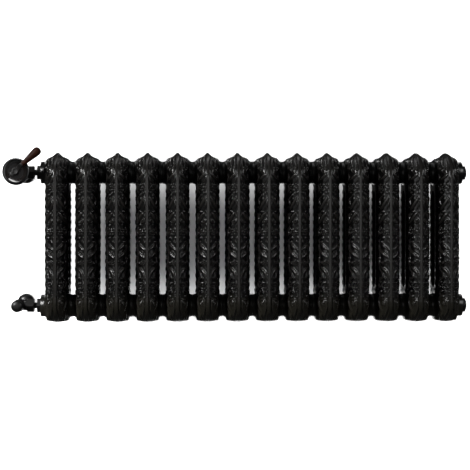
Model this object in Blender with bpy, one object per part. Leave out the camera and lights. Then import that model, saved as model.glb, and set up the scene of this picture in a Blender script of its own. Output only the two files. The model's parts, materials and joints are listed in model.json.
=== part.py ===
"""Wall-hung fourteen-section cast-iron column radiator with a lever valve and a lockshield valve.

Frame: metres, +Z up. The wall is the plane Y = 0 and the radiator stands in front of it at -Y.
X is centred on the row of sections and Z = 0 is the axis of the lower tappings.
"""
import math

import bmesh
import bpy
from mathutils import Matrix, Vector

MM = 0.001
GAP = 0.3 * MM                       # clearance between touching pieces

# Row of sections
SECTIONS = 14
PITCH = 80 * MM
MID_Y = -150 * MM                    # mid-depth plane of the sections
TAPPING_RISE = 356 * MM              # lower tapping axis to upper tapping axis

# One section
HALF_WIDTH = 31 * MM
HALF_DEPTH = 92.5 * MM
CREST_Z = 53.2 * MM                  # above the upper tapping axis
KEEL_Z = 44 * MM                     # below the lower tapping axis
ARCH_DROP = 15 * MM                  # the front starts to curve back this far inside each axis
RIB_HALF = 4 * MM
WIDEST = 0.42                        # the plan is widest up to this share of the half depth
WALL = 4.5 * MM
HUB_R = 29.5 * MM
HUB_BORE_R = 16.6 * MM               # 1 inch pipe thread, drawn plain
END_BOSS = 45 * MM                   # outer hub face of an end section, from the section's middle
SLOT_HALF = 12 * MM                  # half of the opening between front and rear columns
SLOT_FLARE = 24 * MM                 # the same half at the section's side
SLOT_END = 45 * MM                   # from each tapping axis to the opening
HUB_SEGMENTS = 12
BORE_SEGMENTS = 12

# Nipple
NIPPLE_R = HUB_BORE_R - GAP
NIPPLE_BORE_R = 12.5 * MM
NIPPLE_HALF = 18 * MM
LUG_R = 10.5 * MM                    # inner lugs that the assembly key turns
LUG_HALF = 8 * MM

# Bushings and plugs
FLANGE_R = 20.8 * MM
FLANGE_LEN = 9.7 * MM
THREAD_LEN = 16 * MM
PLUG_FLANGE_LEN = 9 * MM
PLUG_BOSS_R = 12 * MM
PLUG_BOSS_LEN = 3 * MM
PLUG_HOLLOW_R = 11 * MM

# Both valves, measured from the valve axis towards the radiator
VALVE_X = -(SECTIONS - 1) / 2 * PITCH - 105 * MM
ARM_R = 10.5 * MM
ARM_BORE_R = 6 * MM
SEAT_R = 12.6 * MM
SEAT_START = 17 * MM
SEAT_END = 30 * MM
NUT_R = 19.6 * MM
NUT_START = 23 * MM
NUT_END = 41.5 * MM
NUT_BORE_R = 13 * MM
NUT_WALL = 5 * MM
TAIL_R = 7.8 * MM
TAIL_BORE_R = 5.5 * MM
TAIL_COLLAR_R = 12.4 * MM
TAIL_END = 68 * MM
BUSH_BORE_R = 8.1 * MM
BARREL_R = 14 * MM
BULGE_R = 16.5 * MM
CHAMBER_R = 9 * MM
INLET_R = 15.5 * MM
INLET_END = 34 * MM
SOCKET_R = 8.3 * MM
SOCKET_START = 14 * MM
VALVE_SEGMENTS = 16

# Lever valve, distances forward of the tapping axis
BODY_FRONT = 24 * MM
PLUG_R = 8.6 * MM
PLUG_FRONT = 11 * MM
PLUG_BACK = 8 * MM
PLUG_CUT = 1.5 * MM                  # flat of the half-cut plug, from its axis
SPINDLE_R = 4 * MM
DIAL_R = 36 * MM
DIAL_BACK = 52.3 * MM
DIAL_PLATE = 3 * MM
DIAL_RIM_FRONT = 61 * MM
DISH_R = 28.5 * MM                   # sloping dish inside the dial's rim
DISH_FLOOR_R = 21 * MM
DIAL_SEGMENTS = 28
LEVER_ANGLE = math.radians(41.7)     # lever direction at rest, above +X
LEVER_BACK = 57.5 * MM
LEVER_FRONT = 78.5 * MM
GRIP_FORWARD = 82 * MM               # grip axis, forward of the tapping axis
GRIP_START = 26.3 * MM
TANG_R = 2.5 * MM
TANG_END = 70 * MM

# Lockshield valve
NECK_R = 11.3 * MM
NECK_FRONT = 30 * MM
CAP_R = 16 * MM
CAP_BACK = 18 * MM
CAP_FRONT = 48 * MM
LOCK_SPINDLE_FRONT = 38 * MM

# Wall tubes
TUBE_R = 8 * MM
TUBE_BORE_R = 6.5 * MM
ROSETTE_R = 23.5 * MM
ROSETTE_LEN = 14 * MM

SHARP = math.radians(32)
AXES = {
    "X": Matrix.Rotation(math.radians(90), 4, "Y"),
    "-Y": Matrix.Rotation(math.radians(90), 4, "X"),
    "Z": Matrix.Identity(4),
}


def clear_scene():
    for obj in list(bpy.data.objects):
        bpy.data.objects.remove(obj, do_unlink=True)


def material(name, colour, metallic, roughness):
    mat = bpy.data.materials.new(name)
    mat.use_nodes = True
    shader = mat.node_tree.nodes["Principled BSDF"]
    shader.inputs["Base Color"].default_value = (*colour, 1)
    shader.inputs["Metallic"].default_value = metallic
    shader.inputs["Roughness"].default_value = roughness
    mat.diffuse_color = (*colour, 1)
    return mat


def add_object(name, mesh, location=(0, 0, 0)):
    obj = bpy.data.objects.new(name, mesh)
    obj.location = location
    bpy.context.collection.objects.link(obj)
    return obj


def mesh_from(name, verts, faces):
    """A closed mesh with outward normals."""
    mesh = bpy.data.meshes.new(name)
    mesh.from_pydata([tuple(v) for v in verts], [], faces)
    bm = bmesh.new()
    bm.from_mesh(mesh)
    bmesh.ops.recalc_face_normals(bm, faces=bm.faces)
    bm.to_mesh(mesh)
    bm.free()
    return mesh


def loft(name, rings, location=(0, 0, 0)):
    """A solid through rings of equally many points, closed flat at both ends."""
    count = len(rings[0])
    verts = [p for ring in rings for p in ring]
    faces = [tuple(range(count)), tuple(range(len(verts) - count, len(verts)))]
    for k in range(len(rings) - 1):
        for i in range(count):
            j = (i + 1) % count
            a, b = k * count, (k + 1) * count
            faces.append((a + i, a + j, b + j, b + i))
    return add_object(name, mesh_from(name, verts, faces), location)


def lathe(name, profile, axis="X", location=(0, 0, 0), segments=VALVE_SEGMENTS, phase=0.0):
    """Turn (distance along axis, radius) points; a profile without radius 0 closes into a tube."""
    tube = all(radius > 0 for _, radius in profile)
    verts, rows = [], []
    for along, radius in profile:
        if radius == 0:
            rows.append([len(verts)] * segments)
            verts.append(Vector((0, 0, along)))
            continue
        rows.append(list(range(len(verts), len(verts) + segments)))
        for i in range(segments):
            a = phase + 2 * math.pi * i / segments
            verts.append(Vector((radius * math.cos(a), radius * math.sin(a), along)))
    faces = []
    pairs = list(zip(rows, rows[1:])) + ([(rows[-1], rows[0])] if tube else [])
    for low, high in pairs:
        for i in range(segments):
            j = (i + 1) % segments
            face = list(dict.fromkeys((low[i], low[j], high[j], high[i])))
            if len(face) > 2:
                faces.append(face)
    turn = AXES[axis] if isinstance(axis, str) else axis
    return add_object(name, mesh_from(name, [turn @ v for v in verts], faces), location)


def prism(name, radius, start, end, sides, axis="X", location=(0, 0, 0), phase=0.0):
    return lathe(name, [(start, 0), (start, radius), (end, radius), (end, 0)], axis, location, sides, phase)


def combine(target, tool, operation):
    """Apply one Boolean to target and drop the tool."""
    mod = target.modifiers.new(operation, "BOOLEAN")
    mod.operation = operation
    mod.solver = "EXACT"
    mod.object = tool
    bpy.context.view_layer.update()
    solid = bpy.data.meshes.new_from_object(target.evaluated_get(bpy.context.evaluated_depsgraph_get()))
    solid.name = target.name
    target.modifiers.clear()
    target.data = solid
    bpy.data.objects.remove(tool, do_unlink=True)
    return target


def cut(target, *tools):
    for tool in tools:
        combine(target, tool, "DIFFERENCE")
    return target


def join(target, *tools):
    for tool in tools:
        combine(target, tool, "UNION")
    return target


def finish(obj, mat):
    """Merge slivers left by the Booleans, then set material and shading."""
    mesh = obj.data
    bm = bmesh.new()
    bm.from_mesh(mesh)
    bmesh.ops.remove_doubles(bm, verts=bm.verts, dist=0.02 * MM)
    bmesh.ops.dissolve_limit(bm, angle_limit=math.radians(0.5), verts=bm.verts, edges=bm.edges)
    bmesh.ops.triangulate(bm, faces=bm.faces)
    bm.to_mesh(mesh)
    bm.free()
    mesh.materials.clear()
    mesh.materials.append(mat)
    mesh.shade_smooth()
    mesh.set_sharp_from_angle(angle=SHARP)
    return obj


# ---------------------------------------------------------------- sections

def arch(z):
    """Half depth at height z: straight in the middle, elliptical towards crest and keel."""
    if z > TAPPING_RISE - ARCH_DROP:
        part = (z - TAPPING_RISE + ARCH_DROP) / (CREST_Z + ARCH_DROP + 0.3 * MM)
    elif z < ARCH_DROP:
        part = (ARCH_DROP - z) / (KEEL_Z + ARCH_DROP + 0.3 * MM)
    else:
        part = 0
    return HALF_DEPTH * math.sqrt(1 - part * part)


def wedge_ring(half_width, half_depth, z):
    """Plan of both columns together: a flat rib front and rear with faces raking back from it."""
    rib = min(RIB_HALF, 0.5 * half_width)
    quarter = [(rib, 1), (rib + 0.58 * (half_width - rib), 0.85), (half_width, WIDEST)]
    front = [(x, -y * half_depth) for x, y in quarter]
    rear = [(x, -y) for x, y in reversed(front)]
    right = front + rear
    return [(x, y, z) for x, y in right + [(-x, y) for x, y in reversed(right)]]


# Front outline of a section as (height, half width): crest above the upper axis, foot below the lower
CREST_OUTLINE = [(53.2, 1.2), (48.6, 6.5), (43, 12.5), (39, 22.5), (35.5, 29), (29, 31), (8, 31), (-15, 31)]
FOOT_OUTLINE = [(15, 31), (-12, 31), (-30, 31), (-38, 28), (-41.3, 16), (-44, 2.5)]
# Cavity as (height, half width, half depth) about the same two axes
CREST_CAVITY = [(33, 17, 46), (24, 25.5, 64), (-5, 25.5, 84)]
FOOT_CAVITY = [(5, 25.5, 84), (-22, 25.5, 66), (-33, 18, 40)]


def section_outside(name):
    rings = []
    for z, w in CREST_OUTLINE:
        height = TAPPING_RISE + z * MM
        rings.append(wedge_ring(w * MM, arch(height), height))
    for z, w in FOOT_OUTLINE:
        rings.append(wedge_ring(w * MM, arch(z * MM), z * MM))
    return loft(name, rings)


def section_cavity(name):
    rings = []
    for base, levels in ((TAPPING_RISE, CREST_CAVITY), (0, FOOT_CAVITY)):
        for z, w, d in levels:
            quarter = [(0.34 * w, 0.94 * d), (w, 0.286 * d)]
            right = [(x, -y) for x, y in quarter] + [(x, y) for x, y in reversed(quarter)]
            ring = right + [(-x, y) for x, y in reversed(right)]
            rings.append([(x * MM, y * MM, base + z * MM) for x, y in ring])
    return loft(name, rings)


def column_slot(name, grow):
    """The opening between front and rear column, flaring towards the section's sides."""
    rings = []
    reach = HALF_WIDTH + 4 * MM
    low, high = SLOT_END - grow, TAPPING_RISE - SLOT_END + grow
    for x, half in ((-reach, SLOT_FLARE + 2 * MM), (-0.55 * HALF_WIDTH, SLOT_HALF + 3 * MM),
                    (0.55 * HALF_WIDTH, SLOT_HALF + 3 * MM), (reach, SLOT_FLARE + 2 * MM)):
        t = half + grow
        rings.append([(x, -t, low + t), (x, 0, low), (x, t, low + t),
                      (x, t, high - t), (x, 0, high), (x, -t, high - t)])
    return loft(name, rings)


def build_section(name, left_face, right_face):
    """A hollow casting with its two hubs bored through along X."""
    body = section_outside(name)
    for z in (0, TAPPING_RISE):
        join(body, prism("hub", HUB_R, -left_face, right_face, HUB_SEGMENTS, "X", (0, 0, z)))
    cavity = cut(section_cavity("cavity"), column_slot("web", WALL))
    cut(body, column_slot("slot", 0), cavity)
    for z in (0, TAPPING_RISE):
        cut(body, prism("bore", HUB_BORE_R, -left_face - GAP, right_face + GAP, BORE_SEGMENTS, "X", (0, 0, z)))
    return body


def build_sections(mat):
    face = PITCH / 2 - GAP / 2
    first_x = -(SECTIONS - 1) / 2 * PITCH
    shared = None
    for i in range(SECTIONS):
        name = f"section_{i + 1:02d}"
        if i in (0, SECTIONS - 1):
            obj = finish(build_section(name, END_BOSS if i == 0 else face, face if i == 0 else END_BOSS), mat)
        elif shared is None:
            obj = finish(build_section(name, face, face), mat)
            shared = obj.data
        else:
            obj = add_object(name, shared)
        obj.location = (first_x + i * PITCH, MID_Y, 0)


def build_nipples(mat):
    """Right-and-left-hand threaded nipples with two inner lugs."""
    shared = None
    for level, z in (("upper", TAPPING_RISE), ("lower", 0)):
        for i in range(SECTIONS - 1):
            name = f"nipple_{level}_{i + 1:02d}"
            place = ((i - (SECTIONS - 2) / 2) * PITCH, MID_Y, z)
            if shared:
                add_object(name, shared, place)
                continue
            obj = lathe(name, [(-NIPPLE_HALF, NIPPLE_R), (NIPPLE_HALF, NIPPLE_R), (NIPPLE_HALF, NIPPLE_BORE_R),
                               (LUG_HALF, NIPPLE_BORE_R), (-LUG_HALF, NIPPLE_BORE_R),
                               (-NIPPLE_HALF, NIPPLE_BORE_R)], "X", place, BORE_SEGMENTS)
            for v in obj.data.vertices:
                inner = math.hypot(v.co.y, v.co.z) < NIPPLE_R - MM
                if inner and abs(v.co.x) < LUG_HALF + GAP and abs(v.co.y) < 0.1 * MM:
                    v.co.z *= LUG_R / NIPPLE_BORE_R
            shared = finish(obj, mat).data


def build_bushings(mat):
    for level, z in (("upper", TAPPING_RISE), ("lower", 0)):
        face = -(SECTIONS - 1) / 2 * PITCH - END_BOSS
        obj = prism(f"bushing_{level}", FLANGE_R, -GAP - FLANGE_LEN, -GAP, 6, "X", (face, MID_Y, z))
        join(obj, prism("thread", NIPPLE_R, -MM, THREAD_LEN, BORE_SEGMENTS, "X", (face, MID_Y, z)))
        cut(obj, prism("bore", BUSH_BORE_R, -FLANGE_LEN - MM, THREAD_LEN + MM, VALVE_SEGMENTS, "X",
                       (face, MID_Y, z)))
        finish(obj, mat)


def build_plugs(mat):
    for level, z in (("upper", TAPPING_RISE), ("lower", 0)):
        place = ((SECTIONS - 1) / 2 * PITCH + END_BOSS, MID_Y, z)
        obj = prism(f"plug_{level}", FLANGE_R, GAP, GAP + PLUG_FLANGE_LEN, 6, "X", place)
        boss_end = GAP + PLUG_FLANGE_LEN + PLUG_BOSS_LEN
        join(obj,
             prism("boss", PLUG_BOSS_R, GAP + MM, boss_end, VALVE_SEGMENTS, "X", place),
             prism("thread", NIPPLE_R, -THREAD_LEN, MM, BORE_SEGMENTS, "X", place))
        cut(obj, prism("hollow", PLUG_HOLLOW_R, -THREAD_LEN - MM, MM, BORE_SEGMENTS, "X", place))
        finish(obj, mat)


# ---------------------------------------------------------------- valves

def valve_place(z, out=0.0):
    return (VALVE_X + out, MID_Y, z)


def outlet_arm(body, z):
    """Side arm towards the radiator with the seat for the union nut."""
    join(body, lathe("arm", [(0, 0), (0, ARM_R), (SEAT_START, ARM_R), (SEAT_START, SEAT_R), (SEAT_END, SEAT_R),
                             (SEAT_END, 0)], "X", valve_place(z)))
    cut(body, prism("port", ARM_BORE_R, 0, SEAT_END + MM, VALVE_SEGMENTS, "X", valve_place(z)))


BARREL_REAR = [(5 * MM, BULGE_R), (-9 * MM, BULGE_R), (-16 * MM, BARREL_R), (-22 * MM, BARREL_R),
               (-22 * MM, INLET_R), (-INLET_END, INLET_R), (-INLET_END, 0)]
BORE_REAR = [(-INLET_END - MM, 0), (-INLET_END - MM, SOCKET_R), (-SOCKET_START, SOCKET_R),
             (-SOCKET_START, ARM_BORE_R), (-PLUG_BACK - MM, ARM_BORE_R), (-PLUG_BACK - MM, CHAMBER_R)]


def build_lever_valve_body(mat):
    place = valve_place(TAPPING_RISE)
    body = lathe("valve_body", [(BODY_FRONT, 0), (BODY_FRONT, BARREL_R), (PLUG_FRONT, BARREL_R)] + BARREL_REAR,
                 "-Y", place)
    outlet_arm(body, TAPPING_RISE)
    cut(body, lathe("bore", BORE_REAR + [(BODY_FRONT + MM, CHAMBER_R), (BODY_FRONT + MM, 0)], "-Y", place))
    finish(body, mat)


def build_lockshield_body(mat):
    place = valve_place(0)
    body = lathe("lockshield_body", [(NECK_FRONT, 0), (NECK_FRONT, NECK_R), (CAP_BACK - 2 * MM, NECK_R),
                                     (CAP_BACK - 4 * MM, BARREL_R)] + BARREL_REAR, "-Y", place)
    outlet_arm(body, 0)
    guide = SPINDLE_R + GAP
    cut(body, lathe("bore", BORE_REAR + [(PLUG_FRONT + MM, CHAMBER_R), (PLUG_FRONT + MM, guide),
                                         (NECK_FRONT + MM, guide), (NECK_FRONT + MM, 0)], "-Y", place))
    finish(body, mat)


def build_union(prefix, z, nut_mat, tail_mat):
    nut = prism(f"{prefix}_union_nut", NUT_R, NUT_START, NUT_END, 6, "X", valve_place(z))
    cut(nut,
        prism("thread", NUT_BORE_R, NUT_START - MM, NUT_END - NUT_WALL, VALVE_SEGMENTS, "X", valve_place(z)),
        prism("hole", TAIL_R + 0.6 * MM, NUT_START, NUT_END + MM, VALVE_SEGMENTS, "X", valve_place(z)))
    finish(nut, nut_mat)
    collar = SEAT_END + GAP
    back = NUT_END - NUT_WALL - GAP
    tail = lathe(f"{prefix}_tail", [(collar, TAIL_BORE_R), (collar, TAIL_COLLAR_R), (back, TAIL_COLLAR_R),
                                    (back, TAIL_R), (TAIL_END, TAIL_R), (TAIL_END, TAIL_BORE_R)],
                 "X", valve_place(z))
    finish(tail, tail_mat)


def build_spindle(name, front, z, mat):
    """Spindle ending in a half-cut rotary plug that opens or shuts the side port."""
    profile = [(front, 0), (front, SPINDLE_R), (PLUG_FRONT, SPINDLE_R), (PLUG_FRONT, PLUG_R),
               (-PLUG_BACK, PLUG_R), (-PLUG_BACK, 0)]
    spindle = lathe(name, profile, "-Y", valve_place(z))
    near, far, wide = 6 * MM, 2 * PLUG_BACK, 2 * PLUG_R
    recess = loft("recess", [[(PLUG_CUT, -near, h), (wide, -near, h), (wide, far, h), (PLUG_CUT, far, h)]
                             for h in (-wide, wide)], valve_place(z))
    cut(spindle, recess)
    finish(spindle, mat)


def build_bonnet(mat):
    z = TAPPING_RISE
    hex_back, hex_front = BODY_FRONT + GAP, 34 * MM
    bonnet = prism("valve_bonnet", 15.5 * MM, hex_back, hex_front, 6, "-Y", valve_place(z))
    join(bonnet, lathe("stem", [(PLUG_FRONT + GAP, 0), (PLUG_FRONT + GAP, CHAMBER_R - GAP),
                                (hex_back + MM, CHAMBER_R - GAP), (hex_front, 9 * MM), (DIAL_BACK - GAP, 9 * MM),
                                (DIAL_BACK - GAP, 6 * MM), (LEVER_BACK - 0.5 * MM, 6 * MM),
                                (LEVER_BACK - 0.5 * MM, 0)], "-Y", valve_place(z)))
    cut(bonnet, prism("guide", SPINDLE_R + GAP, PLUG_FRONT - MM, LEVER_BACK + MM, VALVE_SEGMENTS, "-Y",
                      valve_place(z)))
    finish(bonnet, mat)


def build_dial(mat):
    front = DIAL_BACK + DIAL_PLATE
    profile = [(DIAL_BACK, 6.3 * MM), (DIAL_BACK, DIAL_R - 3 * MM), (DIAL_BACK + 3 * MM, DIAL_R),
               (DIAL_RIM_FRONT - 2 * MM, DIAL_R), (DIAL_RIM_FRONT, DIAL_R - 2.5 * MM),
               (DIAL_RIM_FRONT - 0.5 * MM, DISH_R), (front, DISH_FLOOR_R), (front, 6.3 * MM)]
    dial = lathe("valve_dial", profile, "-Y", valve_place(TAPPING_RISE), DIAL_SEGMENTS)
    finish(dial, mat)


def lever_ring(along, forward, half_width, half_thick):
    """Eight-sided cross-section of the lever arm at a distance along it."""
    u = Vector((math.cos(LEVER_ANGLE), 0, math.sin(LEVER_ANGLE)))
    side = Vector((-math.sin(LEVER_ANGLE), 0, math.cos(LEVER_ANGLE)))
    front = Vector((0, -1, 0))
    cut_w, cut_t = 0.55 * half_width, 0.55 * half_thick
    outline = [(half_width, cut_t), (cut_w, half_thick), (-cut_w, half_thick), (-half_width, cut_t),
               (-half_width, -cut_t), (-cut_w, -half_thick), (cut_w, -half_thick), (half_width, -cut_t)]
    return [u * along + front * (forward + t) + side * w for w, t in outline]


def build_lever(arm_mat, grip_mat):
    place = valve_place(TAPPING_RISE)
    along = Matrix.Rotation(math.radians(90) - LEVER_ANGLE, 4, "Y")
    grip_axis = (place[0], place[1] - GRIP_FORWARD, place[2])
    hub = lathe("valve_lever", [(LEVER_BACK, 0), (LEVER_BACK, 10 * MM), (LEVER_FRONT - 2.5 * MM, 10 * MM),
                                (LEVER_FRONT, 7.5 * MM), (LEVER_FRONT, 5 * MM), (LEVER_FRONT - 2 * MM, 4.5 * MM),
                                (LEVER_FRONT - 2 * MM, 0)], "-Y", place)
    arm = loft("arm", [lever_ring(a * MM, f * MM, w * MM, t * MM) for a, f, w, t in
                       ((-17.5, 70, 3, 2.6), (-12, 70, 6.8, 3.4), (0, 70, 8.2, 3.6), (13, 73, 6.8, 3.6),
                        (20, 80, 6.2, 4.4), (25.8, 82, 5.9, 5.2))], place)
    join(hub, arm)
    tang = prism("tang", TANG_R, 21 * MM, TANG_END, 12, along, grip_axis)
    join(hub, tang)
    cut(hub, prism("socket", SPINDLE_R + GAP, LEVER_BACK - MM, 75 * MM, VALVE_SEGMENTS, "-Y", place))
    finish(hub, arm_mat)

    grip = lathe("valve_grip", [(GRIP_START, TANG_R + GAP), (GRIP_START, 6.2 * MM), (36 * MM, 7 * MM),
                                (50 * MM, 8.5 * MM), (63 * MM, 10.3 * MM), (73 * MM, 11.6 * MM),
                                (81 * MM, 11 * MM), (86 * MM, 7.4 * MM), (88 * MM, 0), (TANG_END + MM, 0),
                                (TANG_END + MM, TANG_R + GAP)], along, grip_axis)
    close_profile(grip)
    finish(grip, grip_mat)
    grip.data.transform(Matrix.Translation((0, -GRIP_FORWARD, 0)))
    grip.location = place


def close_profile(obj):
    """Close the ring left between the first and last profile rows of a blind turned piece."""
    bm = bmesh.new()
    bm.from_mesh(obj.data)
    edges = [e for e in bm.edges if e.is_boundary]
    bmesh.ops.bridge_loops(bm, edges=edges)
    bmesh.ops.recalc_face_normals(bm, faces=bm.faces)
    bm.to_mesh(obj.data)
    bm.free()


def build_lockshield_cap(mat):
    bore = NECK_R + GAP
    cap = lathe("lockshield_cap", [(CAP_BACK, bore), (CAP_BACK, CAP_R - MM), (CAP_BACK + MM, CAP_R),
                                   (CAP_FRONT - 10 * MM, CAP_R), (CAP_FRONT - 4 * MM, 13.5 * MM),
                                   (CAP_FRONT - MM, 8 * MM), (CAP_FRONT, 0), (CAP_FRONT - 5 * MM, 0),
                                   (CAP_FRONT - 7 * MM, bore)], "-Y", valve_place(0))
    close_profile(cap)
    finish(cap, mat)


def build_wall_tube(name, z, mat):
    wall = -MID_Y
    start = SOCKET_START + GAP
    profile = [(-start, TUBE_BORE_R), (-start, TUBE_R), (-(wall - ROSETTE_LEN), TUBE_R),
               (-(wall - ROSETTE_LEN + MM), 14 * MM), (-(wall - 9 * MM), 19.5 * MM), (-(wall - 4 * MM), ROSETTE_R),
               (-wall, ROSETTE_R), (-wall, TUBE_BORE_R)]
    finish(lathe(name, profile, "-Y", valve_place(z)), mat)


def build_valves(mats):
    build_lever_valve_body(mats["valve_black"])
    build_union("valve", TAPPING_RISE, mats["nut_black"], mats["tail_brass"])
    build_bonnet(mats["bonnet_brass"])
    build_spindle("valve_spindle", 74 * MM, TAPPING_RISE, mats["spindle_steel"])
    build_dial(mats["dial_enamel"])
    build_lever(mats["lever_metal"], mats["grip_wood"])
    build_wall_tube("valve_wall_tube", TAPPING_RISE, mats["valve_black"])
    build_lockshield_body(mats["valve_black"])
    build_union("lockshield", 0, mats["nut_black"], mats["tail_brass"])
    build_spindle("lockshield_spindle", LOCK_SPINDLE_FRONT, 0, mats["spindle_steel"])
    build_lockshield_cap(mats["cap_black"])
    build_wall_tube("lockshield_wall_tube", 0, mats["valve_black"])


def build():
    clear_scene()
    mats = {
        "cast_iron_black": material("cast_iron_black", (0.02, 0.018, 0.014), 0.3, 0.35),
        "nipple_iron": material("nipple_iron", (0.25, 0.24, 0.23), 0.9, 0.5),
        "fitting_black": material("fitting_black", (0.018, 0.017, 0.015), 0.4, 0.35),
        "valve_black": material("valve_black", (0.015, 0.014, 0.012), 0.4, 0.3),
        "nut_black": material("nut_black", (0.017, 0.016, 0.014), 0.4, 0.32),
        "tail_brass": material("tail_brass", (0.02, 0.018, 0.015), 0.4, 0.35),
        "bonnet_brass": material("bonnet_brass", (0.45, 0.33, 0.14), 1, 0.35),
        "spindle_steel": material("spindle_steel", (0.55, 0.55, 0.55), 1, 0.3),
        "dial_enamel": material("dial_enamel", (0.03, 0.025, 0.022), 0.1, 0.2),
        "lever_metal": material("lever_metal", (0.02, 0.02, 0.02), 0.5, 0.3),
        "grip_wood": material("grip_wood", (0.05, 0.016, 0.01), 0, 0.4),
        "cap_black": material("cap_black", (0.015, 0.014, 0.013), 0.2, 0.3),
    }
    build_sections(mats["cast_iron_black"])
    build_nipples(mats["nipple_iron"])
    build_bushings(mats["fitting_black"])
    build_plugs(mats["fitting_black"])
    build_valves(mats)


build()
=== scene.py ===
import json
import math

import bmesh
import bpy
import numpy as np
from mathutils import Matrix, Vector


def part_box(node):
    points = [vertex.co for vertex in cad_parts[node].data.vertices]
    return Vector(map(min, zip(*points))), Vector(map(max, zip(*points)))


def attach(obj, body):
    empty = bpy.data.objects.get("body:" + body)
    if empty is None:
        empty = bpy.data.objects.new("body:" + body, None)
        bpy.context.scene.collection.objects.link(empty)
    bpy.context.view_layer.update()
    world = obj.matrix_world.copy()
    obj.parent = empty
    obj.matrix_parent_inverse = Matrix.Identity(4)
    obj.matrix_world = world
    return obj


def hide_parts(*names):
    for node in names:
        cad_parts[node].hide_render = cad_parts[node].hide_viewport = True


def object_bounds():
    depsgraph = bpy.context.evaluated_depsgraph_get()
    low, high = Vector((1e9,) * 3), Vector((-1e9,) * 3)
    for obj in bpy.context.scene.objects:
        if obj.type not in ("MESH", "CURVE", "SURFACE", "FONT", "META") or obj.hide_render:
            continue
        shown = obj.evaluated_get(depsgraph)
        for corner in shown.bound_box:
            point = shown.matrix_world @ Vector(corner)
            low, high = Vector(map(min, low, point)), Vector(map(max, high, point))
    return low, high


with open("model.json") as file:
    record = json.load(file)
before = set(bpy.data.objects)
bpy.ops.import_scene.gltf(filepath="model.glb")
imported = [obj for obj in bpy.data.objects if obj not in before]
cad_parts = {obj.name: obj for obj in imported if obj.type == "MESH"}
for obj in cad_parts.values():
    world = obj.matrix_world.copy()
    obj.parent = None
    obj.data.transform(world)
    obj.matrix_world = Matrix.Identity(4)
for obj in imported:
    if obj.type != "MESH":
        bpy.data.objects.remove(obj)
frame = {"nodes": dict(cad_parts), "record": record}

CAD_BOX = [list(v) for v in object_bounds()]
MM = 0.001
JOINTS = {j["name"]: j for j in frame["record"]["behaviour"]["joints"]}
UPPER = Vector(JOINTS["lever_turn"]["pos_m"])        # valve axis on the upper tapping line
LOWER = Vector(JOINTS["lockshield_turn"]["pos_m"])   # valve axis on the lower tapping line
MID_Y = UPPER.y
RISE = (UPPER.z - LOWER.z) / MM
SECTIONS = sorted(n for n in frame["nodes"] if n.startswith("section_"))
FIRST_BOX, SECOND_BOX, THIRD_BOX = (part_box(n) for n in SECTIONS[:3])
PITCH = THIRD_BOX[0][0] - SECOND_BOX[0][0]
FIRST_X = (SECOND_BOX[0][0] + SECOND_BOX[1][0]) / 2 - PITCH

# Section, in mm about the lower tapping axis
HALF_DEPTH = 92.5
WIDEST = 0.42                        # where the side is widest, as a share of the half depth
FOLD_OUT, FOLD_BACK = 0.58, 0.85     # where the raking face folds, as shares of its run and of the half depth
FIELD_SINK = 2.1                     # the ground of the ornament lies this far below the rib
RELIEF_GAIN = 1.45                   # all heights of the ornament are multiplied by this
FULL_RELIEF = 2.4                    # ornament this high gets the full rubbed colour; lower ground fades into the painted shade of the field
RIB, RIB_FOOT, RIB_CREST = 3.7, 1.4, 1.6    # half width of the rib and how much it gains at either end
CREST_START, CREST_H = RISE - 15.0, 68.2
FOOT_START, FOOT_H = 15.0, 59.0
# (height, half width); the crest is measured above the upper tappings, the foot above the lower ones
CREST_OUTLINE = [(28, 31), (31, 30.6), (33.6, 29.6), (36.3, 26.9), (38.0, 24.2), (39.1, 21.5), (40, 18.8),
                 (41.1, 16.1), (42.5, 13.4), (44.3, 10.7), (46.8, 8.1), (50, 5.2), (52.3, 2.9), (53.2, 0.9)]
FOOT_OUTLINE = [(-44, 1.5), (-43.4, 6), (-42.6, 12), (-41.7, 18), (-40.6, 24), (-39.7, 27.6), (-38.6, 29.2),
                (-34, 30.3), (-28, 31)]
SLOT_LOW, SLOT_HIGH = 47.0, RISE - 47.0      # ends of the slot through the section
SLOT_MOUTH, SLOT_WAIST, SLOT_END = 24.0, 12.0, 1.5   # half depths at its sides, in its middle and at its ends
BORE = 16.8                          # radius of the tapped hubs
# (distance from the middle of the section, radius)
HUB_FLANK = [(26, 38.5), (28.5, 35.6), (30.6, 33.2), (32.6, 31.4), (34.8, 30.2), (37, 29.6)]
FOOT_RINGS, STRAIGHT_RINGS, CREST_RINGS = 34, 236, 42
FACET_A, FACET_B = 20.4, 51.8        # developed widths of the two raking facets
FOLD = 0.5                           # ornament is drawn this much narrower on the second facet


# ---------------------------------------------------------------- materials

def new_material(name):
    mat = bpy.data.materials.new(name)
    mat.use_nodes = True
    tree = mat.node_tree
    return mat, tree, tree.nodes["Principled BSDF"]


def node(tree, kind, **inputs):
    n = tree.nodes.new(kind)
    for key, value in inputs.items():
        n.inputs[key.replace("_", " ")].default_value = value
    return n


def ramp(tree, source, stops):
    r = tree.nodes.new("ShaderNodeValToRGB")
    r.color_ramp.elements[0].position, r.color_ramp.elements[0].color = stops[0][0], (*stops[0][1], 1)
    r.color_ramp.elements[1].position, r.color_ramp.elements[1].color = stops[-1][0], (*stops[-1][1], 1)
    for pos, colour in stops[1:-1]:
        e = r.color_ramp.elements.new(pos)
        e.color = (*colour, 1)
    tree.links.new(source, r.inputs["Fac"])
    return r.outputs["Color"]


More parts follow.
